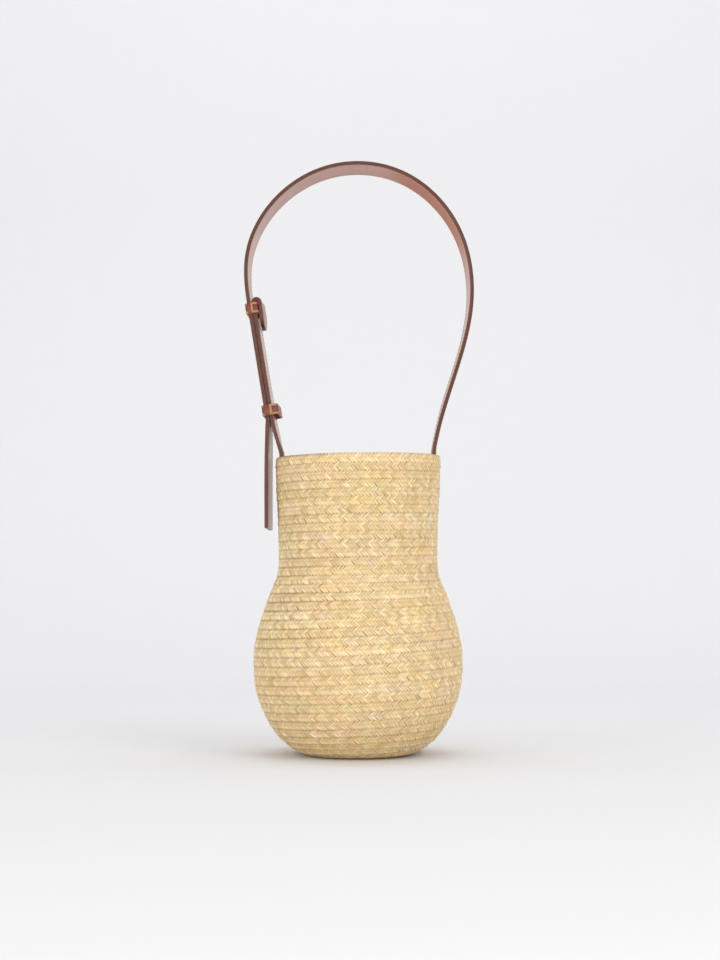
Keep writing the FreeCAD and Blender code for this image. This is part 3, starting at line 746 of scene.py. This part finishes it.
def rounded_rect(x0, x1, y0, y1, r, n=7):
    out = []
    for cx, cy, a0 in ((x1 - r, y1 - r, 0), (x0 + r, y1 - r, 90), (x0 + r, y0 + r, 180), (x1 - r, y0 + r, 270)):
        for i in range(n):
            a = math.radians(a0 + 90 * i / (n - 1))
            out.append((cx + r * math.cos(a), cy + r * math.sin(a)))
    # extra points on the long sides
    res = []
    for i, p in enumerate(out):
        q = out[(i + 1) % len(out)]
        res.append(p)
        d = math.hypot(q[0] - p[0], q[1] - p[1])
        for k in range(1, int(d / 2.5)):
            res.append((p[0] + (q[0] - p[0]) * k / int(d / 2.5), p[1] + (q[1] - p[1]) * k / int(d / 2.5)))
    return np.array(res)


def loop_mesh(name, v0, v1, z, bulge, seam):
    hw = STRAP_W / 2 + RUN + 0.2
    inner = rounded_rect(v0, v1, -hw, hw, 0.9)
    d = np.roll(inner, -1, 0) - np.roll(inner, 1, 0)
    nrm = np.stack([d[:, 1], -d[:, 0]], -1)
    nrm /= np.linalg.norm(nrm, axis=1)[:, None]
    T, H = KEEPER_T, KEEPER_H / 2
    e = T + 0.25
    half = [(0.0, 0.0), (0.0, H - 0.7), (0.1, H - 0.25), (0.35, H), (e - 0.75, H), (e - 0.25, H - 0.2), (e, H - 0.8), (e - 0.02, H - 1.6),
            (e - 0.3, H - 1.95), (T - 0.2 + bulge * 0.2, H - 2.2), (T - 0.15 + bulge * 0.7, H * 0.32), (T - 0.15 + bulge, 0.0)]
    prof = half + [(a, -b) for a, b in half[-2:0:-1]]
    prof = np.array(prof)
    n, m = len(inner), len(prof)
    P = np.zeros((n, m, 3))
    P[..., 0] = inner[:, None, 0] + nrm[:, None, 0] * prof[None, :, 0]
    P[..., 1] = inner[:, None, 1] + nrm[:, None, 1] * prof[None, :, 0]
    P[..., 2] = prof[None, :, 1]
    s = np.cumsum(np.hypot(*(inner - np.roll(inner, 1, 0)).T))
    uv = np.stack([np.repeat(s[:, None], m, 1), np.repeat(np.cumsum(np.hypot(*np.diff(prof, axis=0, prepend=prof[:1]).T))[None], n, 0)], -1)
    f = grid_faces(n, m, True, True)
    colj = np.tile(np.arange(m), n)
    fm = np.isin(colj, [2, 3, 4, 5, 6, 7, 13, 14, 15, 16, 17, 18, 19]).astype(int)
    # painted shade in the grooves between the lips and the raised middle of the loop
    cav = np.ones((n, m)); cav[:, [9, 13]] = 0.25; cav[:, [10, 12]] = 0.85
    V_, F_ = [P.reshape(-1, 3)], [f]
    UV_, C_, FM = [uv.reshape(-1, 2)], [cav.reshape(-1)], [fm]
    # the lapped end on the front face
    lap_x = np.linspace(v0 + 0.4, seam, 5)
    y = -hw - T
    g = []
    for x in lap_x:
        k = 1.0 if x < seam - 0.01 else 0.35
        g.append([(x, y + 0.3, -H + 0.35), (x, y - 0.75 * k, -H + 0.35), (x, y - 1.0 * k, -H + 0.8), (x, y - 1.0 * k - 0.1, 0), (x, y - 1.0 * k, H - 0.8), (x, y - 0.75 * k, H - 0.35), (x, y + 0.3, H - 0.35)])
    g = np.array(g)
    V_.append(g.reshape(-1, 3)); base = n * m
    ff = grid_faces(len(lap_x), 7)[:, ::-1] + base
    F_.append(ff); UV_.append(g.reshape(-1, 3)[:, [0, 2]]); C_.append(np.ones(g.shape[0] * 7))
    FM.append((np.repeat(np.arange(len(lap_x) - 1), 6) == len(lap_x) - 2).astype(int))
    verts = to_world(np.concatenate(V_), z)
    return make(name, verts, np.concatenate(F_), np.concatenate(UV_), None, np.concatenate(C_), True, [M_KEEPER, M_TAN], np.concatenate(FM))


def loop_stitches(name, z, seam, v1):
    hw = STRAP_W / 2 + RUN + 0.2
    nu_, nv_ = 7, 6
    th = np.linspace(0, math.pi, nu_); ps = np.linspace(0, 2 * math.pi, nv_ + 1)[:-1]
    e = np.stack([np.sin(th)[:, None] ** 0.7 * np.cos(ps) * 0.36, np.sin(th)[:, None] ** 0.7 * np.sin(ps) * 0.25, -np.cos(th)[:, None] * np.ones(nv_) * 1.05], -1)
    V_, F_ = [], []
    for i, k in enumerate((-1, 0, 1)):
        c = np.array([seam - 1.3, -hw - KEEPER_T - 1.1, k * 2.8])
        V_.append((e + c).reshape(-1, 3)); F_.append(grid_faces(nu_, nv_, close_cols=True) + i * nu_ * nv_)
    return make(name, to_world(np.concatenate(V_), z), np.concatenate(F_), mats=[M_THREAD])


v0, v1 = -LAYER - RUN, PAIR + LAYER + RUN
o = loop_mesh("upper_keeper_skin", v0, v1, UP_KEEPER_Z, 0.25, 3.4)
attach(o, "strap"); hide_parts("upper_keeper")
o = loop_stitches("upper_keeper_stitches", UP_KEEPER_Z, 3.4, v1)
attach(o, "strap"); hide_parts("upper_keeper_thread")
o = loop_mesh("lower_keeper_skin", v0, v1 + 3.5, LOW_KEEPER_Z, 0.3, 5.6)
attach(o, "lower_keeper"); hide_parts("lower_keeper")
o = loop_stitches("lower_keeper_stitches", LOW_KEEPER_Z, 5.6, v1)
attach(o, "lower_keeper"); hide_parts("lower_keeper_thread")

# ------------------------------------------------------------------ anchor stitches through the wall
for side, sx in (("left", -1), ("right", 1)):
    V_, F_ = [], []
    nu_, nv_ = 7, 6
    th = np.linspace(0, math.pi, nu_); ps = np.linspace(0, 2 * math.pi, nv_ + 1)[:-1]
    g = grid_faces(nu_, nv_, close_cols=True)
    base = 0
    for z in (264.0, 244.0, 224.0):
        r_in = np.interp(z, Z_[len(disc):], R_[len(disc):]) - WALL
        for k in (-2, -1, 0, 1, 2):
            if z == 244.0 and abs(k) < 2:
                continue
            a0 = math.radians(k * 4.4)
            for r in (r_in - STRAP_T - 0.15, r_in + WALL + 0.15):
                al = a0 - np.cos(th)[:, None] * np.ones(nv_) * math.radians(1.9)
                rr_ = r + np.sin(th)[:, None] ** 0.7 * np.cos(ps) * 0.4
                zz_ = z + np.sin(th)[:, None] ** 0.7 * np.sin(ps) * 0.45
                V_.append(np.stack([sx * rr_ * np.cos(al), rr_ * np.sin(al), zz_], -1).reshape(-1, 3))
                F_.append(g + base); base += nu_ * nv_
    o = make(side + "_anchor_thread", np.concatenate(V_), np.concatenate(F_), mats=[M_THREAD])
    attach(o, "bag"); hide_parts(side + "_anchor_stitches")

# ------------------------------------------------------------------ what bends across a joint
for o in (long_a, long_b, long_c, short_a, short_b, short_c):
    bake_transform(o)
hz = lean(hinge.reshape(1, 3))[0] * MM
for o in (tail_a, tail_b, tail_c):
    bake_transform(o)

# ------------------------------------------------------------------ stage
scene = bpy.context.scene
n = 48
ys = np.concatenate([[-40000.0, -12000.0, -4000.0], np.linspace(-500, 900, 8), 900 + 900 * np.sin(np.linspace(0.05, math.pi / 2, 16)), [1800.0]])
zs2 = np.concatenate([[0.0, 0.0, 0.0], np.zeros(8), 900 - 900 * np.cos(np.linspace(0.05, math.pi / 2, 16)), [4500.0]])
xs = np.array([-40000.0, -5000.0, 5000.0, 40000.0])
verts = np.array([[x, y, z] for y, z in zip(ys, zs2) for x in xs])
floor_m, nt, bs = new_mat("paper")
bs.inputs["Base Color"].default_value = (0.79, 0.79, 0.80, 1)
bs.inputs["Roughness"].default_value = 0.95
bs.inputs["Specular IOR Level"].default_value = 0.1
# far from the bag the paper fades into the surrounding light, so no end of it shows
tc = nt.nodes.new("ShaderNodeTexCoord")
far = nt.nodes.new("ShaderNodeVectorMath"); far.operation = "LENGTH"
ramp = nt.nodes.new("ShaderNodeMapRange")
ramp.inputs["From Min"].default_value, ramp.inputs["From Max"].default_value = 2.8, 7.0
ramp.inputs["To Min"].default_value, ramp.inputs["To Max"].default_value = 0.0, 0.16
nt.links.new(tc.outputs["Object"], far.inputs[0])
nt.links.new(far.outputs["Value"], ramp.inputs["Value"])
nt.links.new(ramp.outputs["Result"], bs.inputs["Emission Strength"])
bs.inputs["Emission Color"].default_value = (0.985, 0.99, 1.0, 1)
floor = make("floor", verts, grid_faces(len(ys), 4)[:, ::-1], mats=[floor_m])

world_ = bpy.data.worlds.new("studio")
scene.world = world_
world_.use_nodes = True
bg = world_.node_tree.nodes.get("Background")
bg.inputs[0].default_value = (0.985, 0.99, 1.0, 1)
bg.inputs[1].default_value = 0.76


def area(name, loc, target, size, power, col=(1, 1, 1)):
    l = bpy.data.lights.new(name, "AREA")
    l.shape = "RECTANGLE"
    l.size, l.size_y = size
    l.energy = power
    l.color = col
    ob = bpy.data.objects.new(name, l)
    ob.location = loc
    ob.rotation_euler = (Vector(target) - Vector(loc)).to_track_quat("-Z", "Y").to_euler()
    scene.collection.objects.link(ob)
    return ob


area("key", (1.5, -1.7, 1.5), (0, 0, 0.2), (1.3, 1.3), 12.6, (1.0, 0.985, 0.96))
area("fill", (-1.8, -1.5, 0.7), (0, 0, 0.2), (1.6, 1.6), 9.0, (1.0, 0.99, 0.97))
area("top", (0.0, 0.1, 2.2), (0, 0, 0.2), (1.2, 1.2), 4)
area("low", (0.1, -1.9, 0.35), (0, 0, 0.08), (1.6, 0.5), 8.0, (1.0, 0.98, 0.95))
area("backdrop", (0.0, 0.55, 2.6), (0, 1.9, 0.9), (3.2, 0.8), 11.5, (1.0, 1.0, 1.0))

cam = bpy.data.cameras.new("camera")
cam.lens, cam.sensor_width = 69.2, 36.0
cam.clip_start, cam.clip_end = 0.05, 50
co = bpy.data.objects.new("camera", cam)
co.location = (0.0018, -1.706, 0.168)
co.rotation_euler = (math.radians(90 + 2.83), 0, 0)
scene.collection.objects.link(co)
scene.camera = co
scene.view_settings.view_transform = "Standard"
scene.view_settings.look = "None"
